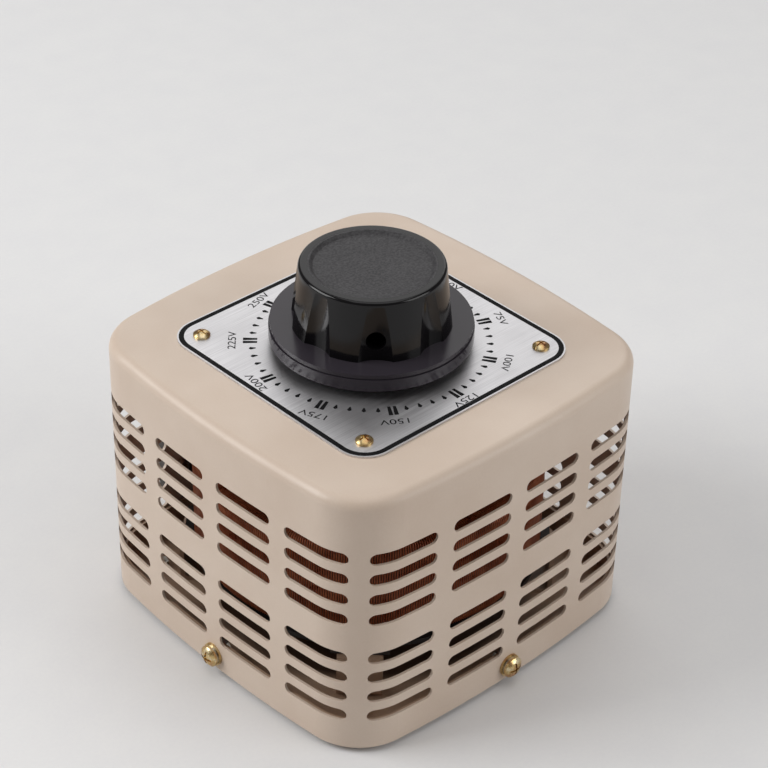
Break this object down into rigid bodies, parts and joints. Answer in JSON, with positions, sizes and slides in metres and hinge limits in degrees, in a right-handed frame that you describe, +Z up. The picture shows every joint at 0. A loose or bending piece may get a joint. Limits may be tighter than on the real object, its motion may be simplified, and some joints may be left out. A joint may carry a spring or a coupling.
{
  "type": "variable transformer",
  "caption": "Bench variable transformer: a toroid with a sliding carbon brush in a slotted, round-cornered steel case, with a fluted knob over a square scale plate.",
  "frame": {"origin": "on the shaft's axis, at the ground under the feet", "axes": "+Z up along the shaft, -Y out of the terminal side, +X towards the side with no fittings that is on the picture's left"},
  "size_m": [0.1952, 0.2201, 0.1759],
  "materials": {
    "beige_paint": "beige stoved paint with a slight orange peel",
    "frame_paint": "beige stoved paint, thinner than the case's",
    "yellow_zinc": "yellow zinc plated",
    "plain_zinc": "zinc plated",
    "foot_rubber": "matt moulded rubber",
    "black_paint": "black satin paint",
    "fibre": "pressed fibre",
    "core_iron": "wound strip, plain",
    "copper": "enamelled copper wire",
    "bare_copper": "bare copper strip",
    "dark_laminate": "dark brown phenolic board",
    "brass": "turned brass",
    "dial_aluminium": "brushed, with a printed scale",
    "arm_aluminium": "die cast",
    "steel": "ground steel",
    "dark_steel": "black oxide",
    "bakelite": "polished black bakelite",
    "carbon": "pressed carbon",
    "lead_sleeve": "plastic sleeved wire"
  },
  "bodies": {
    "frame": {"case": "beige_paint", "base_tray": "frame_paint", "legs": "frame_paint", "case_screws": "yellow_zinc", "case_flat_washers": "yellow_zinc", "dial_screws": "yellow_zinc", "board_screws": "yellow_zinc", "case_spring_washers": "plain_zinc", "case_nuts": "plain_zinc", "foot_screws": "plain_zinc", "foot_nuts": "plain_zinc", "leg_base_screws": "plain_zinc", "leg_base_nuts": "plain_zinc", "leg_top_screws": "plain_zinc", "leg_top_nuts": "plain_zinc", "clamp_bolts": "plain_zinc", "clamp_washers": "plain_zinc", "clamp_nuts": "plain_zinc", "stop_post": "plain_zinc", "pickup_screw": "plain_zinc", "dial_nuts": "plain_zinc", "board_nuts": "plain_zinc", "rubber_feet": "foot_rubber", "carrier_plate": "black_paint", "fibre_pad": "fibre", "core_insulation": "fibre", "iron_core": "core_iron", "winding": "copper", "pickup_strip": "bare_copper", "clamp_disc": "dark_laminate", "terminal_board": "dark_laminate", "upper_bush": "brass", "lower_bush": "brass", "terminal_studs": "brass", "stud_nuts": "brass", "stud_washers": "brass", "thumb_nuts": "brass", "rear_nuts": "brass", "dial_plate": "dial_aluminium", "inner_leads": "lead_sleeve"},
    "rotor": {"shaft": "steel", "shaft_collar": "steel", "collector_disc": "brass", "brush_arm": "arm_aluminium", "arm_screw": "dark_steel", "brush_holder": "brass", "knob": "bakelite", "knob_insert": "brass", "knob_set_screw": "dark_steel", "brush_spring": "steel"},
    "brush": {"carbon_brush": "carbon"}
  },
  "joints": [
    {"name": "knob_turn", "type": "hinge", "parent": "frame", "child": "rotor", "pos_m": [0, 0, 0.15], "axis": [0, 0, -1], "range_deg": [0, 330]},
    {"name": "brush_slide", "type": "slide", "parent": "rotor", "child": "brush", "axis": [0, 0, 1], "range_m": [0, 0.002], "stiffness_N_per_m": 300, "deforming": ["brush_spring"]}
  ]
}
